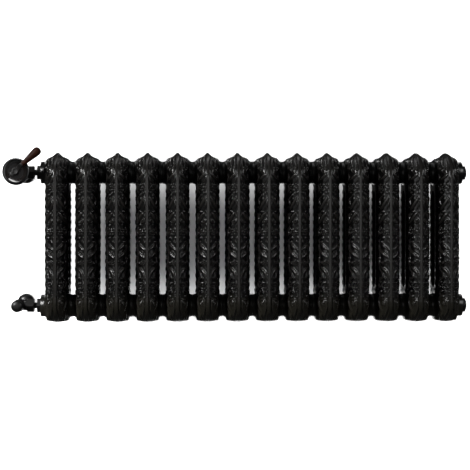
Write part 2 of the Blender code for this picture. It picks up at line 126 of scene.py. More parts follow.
def blend(tree, factor, first, second):
    """Mix of two numbers or colours, each a constant or a socket."""
    coloured = any(isinstance(v, tuple) or getattr(v, "type", "") == "RGBA" for v in (first, second))
    mix = tree.nodes.new("ShaderNodeMix")
    mix.data_type = "RGBA" if coloured else "FLOAT"
    ending = "Color" if coloured else "Float"
    names = {s.identifier: s for s in mix.inputs}
    tree.links.new(factor, names["Factor_Float"])
    for value, side in ((first, "A"), (second, "B")):
        socket = names[f"{side}_{ending}"]
        if isinstance(value, bpy.types.NodeSocket):
            tree.links.new(value, socket)
        else:
            socket.default_value = (*value, 1) if coloured else value
    return next(s for s in mix.outputs if s.identifier == f"Result_{ending}")


def map_range(tree, source, low, high):
    m = tree.nodes.new("ShaderNodeMapRange")
    m.inputs["To Min"].default_value, m.inputs["To Max"].default_value = low, high
    tree.links.new(source, m.inputs["Value"])
    return m.outputs["Result"]


PEEL_SHARE = 0.22                    # orange peel is this much coarser than the cast grain
GRAIN_HEIGHT = 0.0006                # metres
# share of the painted bounce light from the floor at the very bottom
FLOOR_BOUNCE_SHARE = 0.8
COAT_GLOSS = 0.06


def enamel(name, dark, light, rough=(0.22, 0.4), grain=900.0, bump=0.12, patch=18.0, coat=0.0, unworn_and_shade=None,
           floor_bounce=None):
    """Black paint over metal: mottled colour, uneven gloss, fine cast grain and slow orange peel.

    A point attribute runs from 0 in the recesses to 1 on raised ornament and rubbed edges. Where it is 0 the
    paint takes the unworn colour and roughness given; on the sections that colour is a painted shade in the
    recesses, slot and hubs. The last argument gives the lowest and highest height of a lighter tint, and the
    tint: painted bounce light from the floor, strongest at the bottom.
    """
    mat, tree, bsdf = new_material(name)
    coords = tree.nodes.new("ShaderNodeTexCoord").outputs["Object"]
    slow = node(tree, "ShaderNodeTexNoise", Scale=patch, Detail=6.0, Roughness=0.6)
    fine = node(tree, "ShaderNodeTexNoise", Scale=grain, Detail=3.0, Roughness=0.55)
    peel = node(tree, "ShaderNodeTexNoise", Scale=grain * PEEL_SHARE, Detail=2.0)
    for n in (slow, fine, peel):
        tree.links.new(coords, n.inputs["Vector"])
    colour = ramp(tree, slow.outputs["Fac"], [(0.3, dark), (0.55, light), (0.75, dark)])
    gloss = map_range(tree, slow.outputs["Fac"], *rough)
    # low values of the attribute give the unworn colour; on the sections it is a painted shade in the
    # recesses, slot and hubs
    if unworn_and_shade:
        unworn_and_shade_colour, floor_rough = unworn_and_shade
        raised = tree.nodes.new("ShaderNodeAttribute")
        raised.attribute_name = "relief"
        colour = blend(tree, raised.outputs["Fac"], unworn_and_shade_colour, colour)
        gloss = blend(tree, raised.outputs["Fac"], floor_rough, gloss)
    # painted bounce light from the floor: a lighter tint towards the bottom
    if floor_bounce:
        low, high, tint = floor_bounce
        split = tree.nodes.new("ShaderNodeSeparateXYZ")
        tree.links.new(coords, split.inputs["Vector"])
        fall = tree.nodes.new("ShaderNodeMapRange")
        fall.inputs["From Min"].default_value, fall.inputs["From Max"].default_value = low, high
        fall.inputs["To Min"].default_value, fall.inputs["To Max"].default_value = FLOOR_BOUNCE_SHARE, 0.0
        tree.links.new(split.outputs["Z"], fall.inputs["Value"])
        colour = blend(tree, fall.outputs["Result"], colour, tint)
    tree.links.new(colour, bsdf.inputs["Base Color"])
    tree.links.new(gloss, bsdf.inputs["Roughness"])
    add = tree.nodes.new("ShaderNodeMath")
    add.operation = "ADD"
    tree.links.new(fine.outputs["Fac"], add.inputs[0])
    tree.links.new(peel.outputs["Fac"], add.inputs[1])
    b = node(tree, "ShaderNodeBump", Strength=bump, Distance=GRAIN_HEIGHT)
    tree.links.new(add.outputs["Value"], b.inputs["Height"])
    tree.links.new(b.outputs["Normal"], bsdf.inputs["Normal"])
    bsdf.inputs["Coat Weight"].default_value = coat
    bsdf.inputs["Coat Roughness"].default_value = COAT_GLOSS
    return mat


def metal(name, base, dark, rough=(0.25, 0.45)):
    """Turned metal: slight tarnish and fine machining marks."""
    mat, tree, bsdf = new_material(name)
    coords = tree.nodes.new("ShaderNodeTexCoord").outputs["Object"]
    slow = node(tree, "ShaderNodeTexNoise", Scale=60.0, Detail=5.0)
    fine = node(tree, "ShaderNodeTexNoise", Scale=1200.0, Detail=2.0)
    for n in (slow, fine):
        tree.links.new(coords, n.inputs["Vector"])
    tarnish = slow.outputs["Fac"]
    tree.links.new(ramp(tree, tarnish, [(0.35, dark), (0.65, base)]), bsdf.inputs["Base Color"])
    tree.links.new(map_range(tree, tarnish, *rough), bsdf.inputs["Roughness"])
    b = node(tree, "ShaderNodeBump", Strength=0.15, Distance=0.0002)
    tree.links.new(fine.outputs["Fac"], b.inputs["Height"])
    tree.links.new(b.outputs["Normal"], bsdf.inputs["Normal"])
    bsdf.inputs["Metallic"].default_value = 1.0
    return mat


def wood(name, along):
    """Oiled dark hardwood with its grain along the grip."""
    mat, tree, bsdf = new_material(name)
    coords = tree.nodes.new("ShaderNodeTexCoord").outputs["Object"]
    turn = tree.nodes.new("ShaderNodeMapping")
    turn.inputs["Rotation"].default_value = (0, along, 0)
    turn.inputs["Scale"].default_value = (9, 60, 60)
    tree.links.new(coords, turn.inputs["Vector"])
    grain = node(tree, "ShaderNodeTexNoise", Scale=4.0, Detail=8.0, Roughness=0.62, Distortion=0.6)
    pores = node(tree, "ShaderNodeTexNoise", Scale=38.0, Detail=2.0)
    for n in (grain, pores):
        tree.links.new(turn.outputs["Vector"], n.inputs["Vector"])
    colour = ramp(tree, grain.outputs["Fac"], [(0.3, (0.006, 0.0016, 0.0009)), (0.45, (0.03, 0.0085, 0.0042)),
                                               (0.58, (0.011, 0.003, 0.0016)), (0.72, (0.07, 0.027, 0.0125))])
    tree.links.new(colour, bsdf.inputs["Base Color"])
    tree.links.new(map_range(tree, grain.outputs["Fac"], 0.42, 0.62), bsdf.inputs["Roughness"])
    b = node(tree, "ShaderNodeBump", Strength=0.25, Distance=0.0003)
    tree.links.new(pores.outputs["Fac"], b.inputs["Height"])
    tree.links.new(b.outputs["Normal"], bsdf.inputs["Normal"])
    bsdf.inputs["Specular IOR Level"].default_value = 0.1
    return mat


def paper(name, colour):
    mat, tree, bsdf = new_material(name)
    noise = node(tree, "ShaderNodeTexNoise", Scale=3.0, Detail=2.0)
    lo = tuple(c * 0.985 for c in colour)
    tree.links.new(ramp(tree, noise.outputs["Fac"], [(0.3, lo), (0.7, colour)]), bsdf.inputs["Base Color"])
    bsdf.inputs["Roughness"].default_value = 0.9
    bsdf.inputs["Specular IOR Level"].default_value = 0.1
    return mat


LEVER_ANGLE = math.radians(41.7)     # of the lever above the horizontal at rest
MATS = {
    # on the castings the darker colour of the recesses is a painted shade, and the lighter tint at the bottom
    # is painted bounce light from the floor
    "section": enamel("section_enamel_painted_shade_and_bounce", (0.0085, 0.0078, 0.0072), (0.017, 0.0156, 0.014), rough=(0.17, 0.27),
                      bump=0.26, unworn_and_shade=((0.0009, 0.0008, 0.0007), 0.3),
                      floor_bounce=(-0.045, 0.04, (0.036, 0.033, 0.024))),
    "fitting": enamel("fitting_enamel", (0.005, 0.0048, 0.0045), (0.009, 0.0085, 0.008), rough=(0.28, 0.42),
                      unworn_and_shade=((0.0022, 0.0021, 0.002), 0.6)),
    "valve": enamel("valve_enamel", (0.0045, 0.0044, 0.0042), (0.008, 0.0076, 0.007), rough=(0.18, 0.32),
                    bump=0.08, unworn_and_shade=((0.0035, 0.0034, 0.0032), 0.36)),
    "nut": enamel("nut_enamel", (0.0065, 0.0055, 0.0045), (0.011, 0.009, 0.007), rough=(0.2, 0.34), bump=0.1,
                  unworn_and_shade=((0.0035, 0.0032, 0.0028), 0.4)),
    "cap": enamel("cap_moulding", (0.005, 0.005, 0.005), (0.008, 0.008, 0.008), rough=(0.26, 0.38), bump=0.06,
                  unworn_and_shade=((0.004, 0.004, 0.004), 0.42)),
    "dial_face": enamel("dial_face_enamel", (0.005, 0.0042, 0.0042), (0.0085, 0.0072, 0.0072),
                        rough=(0.3, 0.42), bump=0.05, patch=60.0),
    "dial_rim": enamel("dial_rim_enamel", (0.0025, 0.0025, 0.0025), (0.004, 0.004, 0.004),
                       rough=(0.05, 0.09), bump=0.012, coat=0.5),
    "dial_dish": enamel("dial_dish_enamel", (0.0085, 0.0072, 0.0068), (0.013, 0.0112, 0.0105),
                        rough=(0.05, 0.09), bump=0.01, coat=0.5),
    "lever": enamel("lever_lacquer", (0.006, 0.0052, 0.005), (0.0105, 0.009, 0.0085), rough=(0.3, 0.44),
                    bump=0.05, patch=80.0, unworn_and_shade=((0.004, 0.0036, 0.0034), 0.5)),
    "iron": metal("nipple_iron", (0.3, 0.29, 0.28), (0.16, 0.14, 0.13), rough=(0.45, 0.65)),
    "steel": metal("turned_steel", (0.6, 0.6, 0.6), (0.45, 0.45, 0.46)),
    "wood": wood("oiled_hardwood", LEVER_ANGLE),
}


# ---------------------------------------------------------------- section castings

def profile_levels():
    """Heights, half depths and front arc lengths of the rings, from foot to crest."""
    foot = np.radians(np.concatenate(([1.5], np.linspace(5, 87.5, FOOT_RINGS))))
    crest = np.radians(np.concatenate((np.linspace(88, 6, CREST_RINGS), [3.0, 1.0])))
    straight = np.linspace(FOOT_START, CREST_START, STRAIGHT_RINGS)
    z = np.concatenate((FOOT_START - FOOT_H * np.cos(foot), straight, CREST_START + CREST_H * np.cos(crest)))
    h = HALF_DEPTH * np.concatenate((np.sin(foot), np.ones_like(straight), np.sin(crest)))
    steps = np.hypot(np.diff(z), np.diff(h))
    s = np.concatenate(([0], np.cumsum(steps)))
    s += FOOT_START - s[len(foot)]
    return z, h, s


def half_widths(z):
    crest = np.array(CREST_OUTLINE) + (RISE, 0)
    rows = np.vstack((FOOT_OUTLINE, crest))
    return np.interp(z, rows[:, 0], rows[:, 1])


def curve_points(points, per_span=14):
    """Catmull-Rom curve through the given points, of any dimension."""
    pts = np.array([points[0]] + list(points) + [points[-1]], float)
    out = []
    for k in range(1, len(pts) - 2):
        a, b, c, d = pts[k - 1:k + 3]
        for t in np.linspace(0, 1, per_span, endpoint=False):
            out.append(0.5 * (2 * b + (c - a) * t + (2 * a - 5 * b + 4 * c - d) * t ** 2
                              + (3 * b - a - 3 * c + d) * t ** 3))
    out.append(pts[-2])
    return np.array(out)


TAIL_LOSS = 0.72                     # how much of its width or radius a tail loses towards its end
CURL_WIDE = 1.25                     # curls are this much wider than high, because the face is foreshortened


class Relief:
    """Height field over one raking face: p runs from the rib to the side, s up the face, in mm."""

    def __init__(self, p, s, z):
        self.p, self.s = np.meshgrid(p, s)
        self.h = np.zeros_like(self.p)
        self.z, self.level_s = z, s

    def up(self, z):
        """Distance up the face at a height."""
        return np.interp(z, self.z, self.level_s)

    def bead(self, p, z, r, h, wide=1.15):
        d2 = ((self.p - p) / wide) ** 2 + (self.s - self.up(z)) ** 2
        self.h = np.maximum(self.h, RELIEF_GAIN * h * np.sqrt(np.clip(1 - d2 / (r * r), 0, None)))

    def stroke(self, points, r, h, shape="leaf", vein=0.0):
        """A ridge along a curve: a leaf swells in its middle, a tail thins towards its end."""
        pts = curve_points([(p, self.up(z)) for p, z in points])
        t = np.linspace(0, 1, len(pts))
        if shape == "leaf":
            width = np.sin(np.pi * np.clip(t * 0.94 + 0.04, 0, 1)) ** 0.75
        else:
            width = 1 - TAIL_LOSS * t
        ridge = np.zeros_like(self.h)
        core = np.full_like(self.h, 1e9)
        for (p, s), w in zip(pts, width):
            d2 = (self.p - p) ** 2 + (self.s - s) ** 2
            rr = max(r * w, 0.6)
            swell = RELIEF_GAIN * h * (0.45 + 0.55 * w)
            ridge = np.maximum(ridge, swell * np.sqrt(np.clip(1 - d2 / (rr * rr), 0, None)))
            core = np.minimum(core, d2)
        if vein:
            ridge -= vein * np.exp(-core / 0.7) * (ridge > 0)
        self.h = np.maximum(self.h, ridge)

    def rosette(self, p, z, r, beads, h, wide=1.5, core=2.6, size=1.9, phase=0.3):
        """A bead with a ring of beads round it."""
        self.bead(p, z, core, h * 1.15, 1.2)
        for k in range(beads):
            a = phase + 2 * math.pi * k / beads
            self.bead(p + wide * r * math.cos(a), z + r * math.sin(a), size, h, 1.25)

    def curl(self, p, z, r, turns, start, h, width):
        """A spiral that ends on a bead."""
        pts = []
        for t in np.linspace(0, 1, 16):
            a = start + 2 * math.pi * turns * t
            rr = r * (1 - TAIL_LOSS * t)
            pts.append((p + CURL_WIDE * rr * math.cos(a), z + rr * math.sin(a)))
        self.stroke(pts, width, h, "tail")
        self.bead(p, z, width * 1.05, h * 1.15)


def draw_ornament(f):
    """Scrolls, leaves, beads and rosettes down one face, mirrored about the rib by the caller."""
    top = RISE
    # leaf fan and curls of the head
    f.stroke([(4, top + 58), (7, top + 38), (8, top + 16), (13, top - 6), (22, top - 22)], 2.9, 1.9, vein=0.5)
    f.stroke([(10, top + 52), (17, top + 36), (22, top + 18), (30, top + 4)], 2.9, 1.9, vein=0.5)
    f.stroke([(12, top + 42), (28, top + 35), (37, top + 25)], 2.9, 1.7, vein=0.5)
    f.stroke([(26, top + 30), (36, top + 20), (42, top + 6)], 2.6, 1.7)
    f.stroke([(4, top + 22), (4.5, top + 6), (9, top - 12)], 1.8, 1.5)
    f.bead(34, top + 8.6, 3.9, 3.0)
    f.curl(20, top + 4, 7.5, 1.2, 2.2, 2.5, 2.3)
    f.stroke([(7, top - 4), (16, top - 13), (31, top - 21)], 3.4, 2.6, vein=0.6)
    f.stroke([(4, top - 13), (7, top - 24), (15, top - 31)], 2.2, 2.1)
    f.stroke([(41, top - 4), (36, top - 15), (42, top - 27)], 2.8, 2.0)
    # upper beaded rosette
    f.rosette(15, 314, 7.6, 8, 2.5, size=2.3)
    f.bead(31, 322, 2.8, 2.2)
    f.bead(33, 311, 3.0, 2.2)
    f.bead(29, 301, 2.6, 2.2)
    f.bead(5, 301, 2.1, 2.0)
    f.bead(12, 299, 2.4, 2.2)
    f.bead(20, 294, 2.7, 2.3)
    # diagonal leaf
    f.stroke([(7, 290), (13, 277), (22, 265), (32, 256)], 4.4, 2.9, vein=0.8)
    f.stroke([(25, 291), (35, 281), (31, 268)], 3.0, 2.3)
    f.stroke([(3.5, 280), (4.5, 267), (12, 255)], 2.1, 2.0)
    f.bead(23, 251, 2.9, 2.6)
    f.bead(38, 262, 2.7, 2.0)
    # scroll with its curl
    f.stroke([(9, 248), (15, 242), (23, 232), (35, 219)], 4.2, 3.0, vein=0.8)
    f.curl(13, 225, 6.4, 1.15, 2.0, 2.5, 2.3)
    f.bead(29, 243, 2.6, 2.3)
    f.bead(36, 243, 2.3, 2.0)
    f.bead(36, 221, 2.3, 2.0)
    # flower cluster
    f.rosette(15, 197, 7.2, 6, 2.5, core=3.2, size=2.8, phase=0.9)
    f.bead(30, 207, 3.0, 2.4)
    f.bead(32, 193, 2.8, 2.2)
    f.bead(22, 182, 2.7, 2.4)
    f.bead(6, 182, 2.3, 2.1)
    # middle: bead and double leaf
    f.bead(25, 171, 3.4, 2.8)
    f.bead(8, 172, 2.2, 2.0)
    f.stroke([(24, 167), (16, 158), (3.5, 150)], 3.9, 2.8, vein=0.7)
    f.stroke([(38, 166), (34, 151), (21, 140), (6, 129)], 4.4, 2.9, vein=0.8)
    f.stroke([(20, 149), (12, 145), (4.5, 138)], 1.9, 1.9)
    f.bead(35, 128, 4.0, 3.0)
    f.bead(38, 174, 2.6, 2.0)
    # bead in a ring
    f.bead(23, 116, 4.0, 3.1)
    f.rosette(10.5, 116, 5.6, 6, 2.2, wide=1.25, core=2.4, size=1.9)
    # long leaf and hook
    f.stroke([(29, 105), (17, 98), (8, 87), (3, 72)], 4.1, 2.9, vein=0.8)
    f.stroke([(36, 98), (25, 90), (22, 80), (29, 73), (36, 78)], 2.9, 2.5)
    f.bead(14, 75, 2.7, 2.3)
    # lower beaded rosette
    f.rosette(14, 56, 8.0, 9, 2.5, size=2.3)
    f.bead(31, 65, 3.0, 2.3)
    f.bead(34, 52, 3.1, 2.3)
    f.bead(28, 41, 2.8, 2.3)
    f.bead(16, 38, 2.5, 2.3)
    f.bead(5, 38, 2.1, 2.0)
    # foot: large curl and the leaf beside the rib
    f.bead(25, 28, 3.8, 2.9)
    f.curl(17, 11, 9.6, 1.15, 1.2, 2.8, 2.6)
    f.stroke([(6, 27), (8, 8), (7, -10), (12, -28)], 3.0, 2.9, vein=0.6)
    f.stroke([(33, 28), (39, 14), (33, -2), (20, -14)], 3.1, 2.4, vein=0.6)
    f.stroke([(40, -4), (30, -24), (17, -40), (6, -52), (1, -66)], 3.0, 2.6)
    f.stroke([(24, -18), (16, -30), (8, -42)], 2.2, 2.0)
    # fine leaflets and berries that fill the ground
    for k in range(9):
        z = 322 - 34.5 * k
        f.stroke([(3, z), (7, z - 8), (4, z - 17)], 1.5, 1.5)
        f.bead(19, z - 3, 1.5, 1.5)
        f.stroke([(30, z - 4), (35, z - 10), (33, z - 19)], 1.7, 1.5)
        f.bead(39, z - 14, 1.7, 1.6)
    # hooks beside the rosettes: middle height, half length, inner reach, radius and height
    for z, half, reach, r, h in ((312, 16, 38, 2.4, 1.9), (232, 16, 37, 2.8, 2.1), (194, 12, 38, 2.6, 2.0),
                                 (117, 13, 36, 3.0, 2.2), (54, 14, 38, 2.6, 2.0)):
        f.stroke([(42, z + half), (reach, z), (42, z - half)], r, h)
    # scallops along the side edge
    for k in range(15):
        z = 326 - 20.6 * k
        f.bead(46.3, z, 6.2, 1.0, 0.7)


def smooth_step(x):
    x = np.clip(x, 0, 1)
    return x * x * (3 - 2 * x)


def rib_half_width(z, w):
    rib = RIB + RIB_FOOT * smooth_step((4 - z) / 40) + RIB_CREST * smooth_step((z - RISE - 20) / 30)
    return np.minimum(rib, 0.5 * w)


def slot_mouth(z, h):
    """Half depth of the slot at each level, and whether it is open there."""
    end = np.minimum(z - SLOT_LOW, SLOT_HIGH - z)
    inside = end > 0
    round_off = np.clip(1 - end / SLOT_MOUTH, 0, 1)
    mouth = np.full_like(z, SLOT_END)
    mouth[inside] = np.maximum(SLOT_END, (SLOT_MOUTH * np.sqrt(1 - round_off ** 2))[inside])
    return np.minimum(mouth, 0.26 * h), inside


# steps across the rib and the two raking facets, as shares of each
RIB_STEPS = np.array([0, 0.45, 0.8, 0.95])
FACET_A_STEPS = np.concatenate(([0.0, 0.7, 1.4], np.linspace(2.4, FACET_A - 1.2, 15))) / FACET_A
FACET_B_STEPS = np.linspace(0, FACET_B, 34)[:-1] / FACET_B
N_RIB = len(RIB_STEPS)
N_FACE = len(FACET_A_STEPS) + len(FACET_B_STEPS)


def plain_quarter(h, w, rib, mouth):
    """x and y of every level, from the middle of the rib round to the slot, without the ornament."""
    fold_x, fold_y = rib + FOLD_OUT * (w - rib), -FOLD_BACK * h
    x_parts, y_parts = [], []
    for t in RIB_STEPS:
        x_parts.append(rib * t)
        y_parts.append(-h)
    for t in FACET_A_STEPS:
        x_parts.append(rib + (fold_x - rib) * t)
        y_parts.append(-h + (fold_y + h) * t)
    for t in FACET_B_STEPS:
        x_parts.append(fold_x + (w - fold_x) * t)
        y_parts.append(fold_y + (-WIDEST * h - fold_y) * t)
    for y in (-WIDEST * h, -(0.5 * mouth + 0.5 * WIDEST * h), -mouth, 0 * h):
        x_parts.append(w)
        y_parts.append(y)
    x, y = np.stack(x_parts, 1), np.stack(y_parts, 1)
    for _ in range(3):                                   # ease the two folds of the plan
        lo, hi = N_RIB + 4, N_RIB + N_FACE + 1
        for arr in (x, y):
            arr[:, lo:hi] = 0.25 * arr[:, lo - 1:hi - 1] + 0.5 * arr[:, lo:hi] + 0.25 * arr[:, lo + 1:hi + 1]
    return x, y


def ornament_shift(z, h, s, w, columns):
    """How far each point moves out along its normal, and how raised the paint takes it to be.

    Where it is low, in the field of the ornament and towards the side, the paint is a painted shade.
    """
    a = np.concatenate((FACET_A_STEPS * FACET_A, FACET_A + FACET_B_STEPS * FACET_B))
    p = np.where(a < FACET_A, a, FACET_A + (a - FACET_A) * FOLD)
    face = Relief(p, s, z)
    draw_ornament(face)
    carved = 1 - smooth_step((-30 - z) / 10)             # the underside is smooth
    field = -FIELD_SINK * smooth_step(a / 1.6)[None, :] * carved[:, None]
    edge = smooth_step((p[-1] + 8 - p) / 10.0)[None, :]
    crest_fade = (1 - 0.75 * smooth_step((z - RISE - 40) / 12))[:, None]
    shift = np.zeros((len(z), columns))
    on_face = slice(N_RIB, N_RIB + N_FACE)
    shift[:, on_face] = (field * crest_fade + face.h * carved[:, None] * crest_fade) * edge
    side = face.h[:, -1] * carved * crest_fade[:, 0]
    shift[:, N_RIB + N_FACE] = 0.9 * side
    shift[:, N_RIB + N_FACE + 1] = 0.5 * side
    crown = np.array([0.0, -0.04, -0.14, -0.4])          # the rib is very slightly rounded
    shift[:, :N_RIB] = crown[None, :] * np.minimum(1, h / 40)[:, None]
    shift *= np.minimum(1, w / 12)[:, None]
    # the rib and the ornament get the rubbed paint; the field, the sides and the ground near the side edge
    # stay low, a painted shade
    raised = np.zeros_like(shift)
    raised[:, :N_RIB] = 0.8
    raised[:, on_face] = np.clip(face.h / FULL_RELIEF, 0, 1) * edge
    return shift, raised


def section_quarter():
    """Grid of (x, y, z, raised) over the front right quarter, and the levels where the slot is open."""
    z, h, s = profile_levels()
    w = half_widths(z)
    mouth, inside = slot_mouth(z, h)
    x, y = plain_quarter(h, w, rib_half_width(z, w), mouth)
    shift, raised = ornament_shift(z, h, s, w, x.shape[1])
    grid = np.stack((x, y, np.repeat(z[:, None], x.shape[1], 1)), 2)
    normal = np.cross(np.gradient(grid, axis=1), np.gradient(grid, axis=0))
    normal /= np.maximum(np.linalg.norm(normal, axis=2, keepdims=True), 1e-9)
    normal[:, 0, 0] = 0
    grid += normal * shift[:, :, None]
    grid[:, 0, 0] = 0
    grid[:, :, 1] = np.maximum(grid[:, :, 1], -HALF_DEPTH)
    return np.concatenate((grid, raised[:, :, None]), 2), inside


def tag(mesh, values):
    """Store how raised or worn each point is, for the paint; on the sections a low value is a painted shade.
    """
    layer = mesh.attributes.new("relief", "FLOAT", "POINT")
    layer.data.foreach_set("value", np.asarray(values, np.float32))


def section_mesh(name, left_face, right_face):
    """The whole casting: four mirrored quarters, the slot through the middle and the bored hubs."""
    grid, inside = section_quarter()
    levels, k = grid.shape[:2]
    ring = np.concatenate((grid, grid[:, -2::-1] * (1, -1, 1, 1), grid[:, 1:] * (-1, -1, 1, 1),
                           grid[:, -2:0:-1] * (-1, 1, 1, 1)), 1)
    count = ring.shape[1]
    verts = [tuple(v) for v in ring[:, :, :3].reshape(-1, 3)]
    raised = ring[:, :, 3].ravel()
    faces = []
    slot = np.flatnonzero(inside)
    low, high = slot[0], slot[-1]
    gap_right, gap_left = {k - 2, k - 1}, {3 * k - 4, 3 * k - 3}
    for i in range(levels - 1):
        for j in range(count):
            if low <= i < high and (j in gap_right or j in gap_left):
                continue
            a, b = i * count + j, i * count + (j + 1) % count
            faces.append((a, b, b + count, a + count))
    faces.append(tuple(range(count - 1, -1, -1)))
    faces.append(tuple(range((levels - 1) * count, levels * count)))

    span = np.linspace(-1, 1, 13)[1:-1]

    def wall(right, left, side, rows):
        """Rows of vertex indices across the slot from its right mouth to its left mouth."""
        table = []
        for i in rows:
            first, last = i * count + right, i * count + left
            mouth = abs(verts[first][1])
            row = [first]
            for t in -span:
                bow = SLOT_WAIST + (mouth - SLOT_WAIST) * t * t if mouth > SLOT_WAIST else mouth
                row.append(len(verts))
                verts.append((verts[first][0] * t, side * bow, verts[first][2]))
            table.append(row + [last])
        return table

    rows = range(low, high + 1)
    front = wall(k - 2, 3 * k - 2, -1, rows)
    rear = wall(k, 3 * k - 4, 1, rows)
    for table, flip in ((front, False), (rear, True)):
        for upper, lower in zip(table[1:], table):
            for c in range(len(upper) - 1):
                quad = (lower[c], lower[c + 1], upper[c + 1], upper[c])
                faces.append(quad[::-1] if flip else quad)
    for i, flip in ((low, False), (high, True)):
        centre = wall(k - 1, 3 * k - 3, 0, [i])[0]
        f, r = (front[0], rear[0]) if i == low else (front[-1], rear[-1])
        for one, two in ((f, centre), (centre, r)):
            for c in range(len(centre) - 1):
                quad = (one[c], one[c + 1], two[c + 1], two[c])
                faces.append(quad if flip else quad[::-1])

    for z in (0.0, RISE):
        for side, face in ((-1, left_face), (1, right_face)):
            rings = HUB_FLANK + [(face - 0.5, 29.5), (face, 29.1), (face, 24), (face, BORE + 0.8),
                                 (face - 0.8, BORE), (24, BORE)]
            add_tube(verts, faces, rings, side, z)
    mesh = bpy.data.meshes.new(name)
    mesh.from_pydata([(x * MM, y * MM, z * MM) for x, y, z in verts], [], faces)
    # the slot walls and the hubs get 0: a painted shade inside the slot and between the sections
    tag(mesh, np.concatenate((raised, np.zeros(len(verts) - len(raised)))))
    bm = bmesh.new()
    bm.from_mesh(mesh)
    bmesh.ops.recalc_face_normals(bm, faces=bm.faces)
    bm.to_mesh(mesh)
    bm.free()
    mesh.materials.append(MATS["section"])
    mesh.shade_smooth()
    mesh.set_sharp_from_angle(angle=math.radians(50))
    return mesh


def add_tube(verts, faces, rings, side, z, segments=56):
    """A closed ring turned about the tapping axis, appended to the casting."""
    start = len(verts)
    for along, r in rings:
        for i in range(segments):
            a = 2 * math.pi * i / segments
            verts.append((side * along, r * math.cos(a), z + r * math.sin(a)))
    n = len(rings)
    for k in range(n):
        for i in range(segments):
            j = (i + 1) % segments
            a, b = start + k * segments, start + ((k + 1) % n) * segments
            faces.append((a + i, a + j, b + j, b + i))


def place_sections():
    lo, hi = SECOND_BOX
    face = (hi[0] - lo[0]) / 2 / MM
    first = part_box(SECTIONS[0])
    boss = (FIRST_X - first[0][0]) / MM
    meshes = {"left": section_mesh("section_left", boss, face),
              "middle": section_mesh("section_middle", face, face),
              "right": section_mesh("section_right", face, boss)}
    for i, name in enumerate(SECTIONS):
        kind = "left" if i == 0 else "right" if i == len(SECTIONS) - 1 else "middle"
        obj = bpy.data.objects.new(f"casting_{i + 1:02d}", meshes[kind])
        bpy.context.collection.objects.link(obj)
        obj.location = (FIRST_X + i * PITCH, MID_Y, LOWER.z)
        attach(obj, "radiator")
        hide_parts(name)


place_sections()


# ---------------------------------------------------------------- turned and hexagonal pieces

ALONG_X = Matrix.Identity(3)
FORWARD = Matrix(((0, 1, 0), (-1, 0, 0), (0, 0, 1)))          # along -Y, out of the wall
LEVER_WAY = Matrix.Rotation(-LEVER_ANGLE, 3, "Y")             # along the lever at rest
HEX_SIDES = 96                       # segments round a hexagonal piece
NUT_CORNER, BONNET_CORNER, FITTING_CORNER = 19.6, 15.5, 20.8  # half widths over the corners
BONNET_HEX = (24.3, 34)
SHANK = 16.3                         # radius of the bushings and plugs where they screw in
GRIP_AHEAD = 82                      # the grip's axis lies this far in front of the valve's centre
BLADE_SIDES, BLADE_WEAR = 40, 0.35


def soften(profile, soft, closed):
    """Round the corners of a profile; returns points and how worn each one is."""
    pts = [Vector(p) for p in profile]
    out, worn = [], []
    for i, p in enumerate(pts):
        if not closed and i in (0, len(pts) - 1):
            out.append(p)
            worn.append(0.0)
            continue
        before, after = pts[i - 1] - p, pts[(i + 1) % len(pts)] - p
        turn = before.cross(after) if before.length > 1e-6 and after.length > 1e-6 else 0.0
        convex = 1.0 if turn > 0 else 0.0
        reach = min(soft, 0.45 * before.length, 0.45 * after.length)
        a, c = p + before.normalized() * reach, p + after.normalized() * reach
        for t in (0, 0.25, 0.5, 0.75, 1):
            out.append(a * (1 - t) ** 2 + p * 2 * t * (1 - t) + c * t * t)
            worn.append(convex * (1 - abs(2 * t - 1)))
    return out, worn


class Piece:
    """Shells gathered into one mesh, in mm about a centre."""

    def __init__(self):
        self.verts, self.faces, self.relief, self.mats = [], [], [], []

    def rings(self, stations, closed=False):
        """Skin consecutive rings; a station is (points, worn) and a single point closes the end."""
        starts = []
        for points, worn in stations:
            starts.append((len(self.verts), len(points)))
            self.verts += points
            self.relief += [worn] * len(points)
        pairs = list(zip(starts, starts[1:])) + ([(starts[-1], starts[0])] if closed else [])
        for (a, n), (b, m) in pairs:
            for i in range(max(n, m)):
                j = (i + 1) % max(n, m)
                if n == 1:
                    face = (a, b + j, b + i)
                elif m == 1:
                    face = (a + i, a + j, b)
                else:
                    face = (a + i, a + j, b + j, b + i)
                self.faces.append(face)
                self.mats.append(0)

    def turned(self, profile, axis, soft, closed=False, segments=72, radius=None):
        """Turn a profile of (along, radius) about an axis, with its corners rounded by soft."""
        points, worn = soften(profile, soft, closed)
        stations = []
        for (along, r), w in zip(points, worn):
            if r < 1e-6:
                stations.append(([axis @ Vector((along, 0, 0))], w))
                continue
            ring = []
            for i in range(segments):
                a = 2 * math.pi * i / segments
                rr = radius(a, along, r) if radius else r
                ring.append(axis @ Vector((along, rr * math.cos(a), rr * math.sin(a))))
            stations.append((ring, w))
        self.rings(stations, closed)

    def build(self, name, centre, mats, body, nodes, sharp=38):
        """Make the object, parent it to the body it rides, hide the CAD parts it stands in for and give it
        its materials.
        """
        mesh = bpy.data.meshes.new(name)
        mesh.from_pydata([tuple(Vector(v) * MM) for v in self.verts], [], self.faces)
        tag(mesh, self.relief)
        for mat in mats:
            mesh.materials.append(MATS[mat])
        mesh.polygons.foreach_set("material_index", self.mats)
        bm = bmesh.new()
        bm.from_mesh(mesh)
        bmesh.ops.recalc_face_normals(bm, faces=bm.faces)
        bm.to_mesh(mesh)
        bm.free()
        mesh.shade_smooth()
        mesh.set_sharp_from_angle(angle=math.radians(sharp))
        obj = bpy.data.objects.new(name, mesh)
        bpy.context.collection.objects.link(obj)
        obj.location = centre
        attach(obj, body)
        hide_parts(*nodes)
        return obj


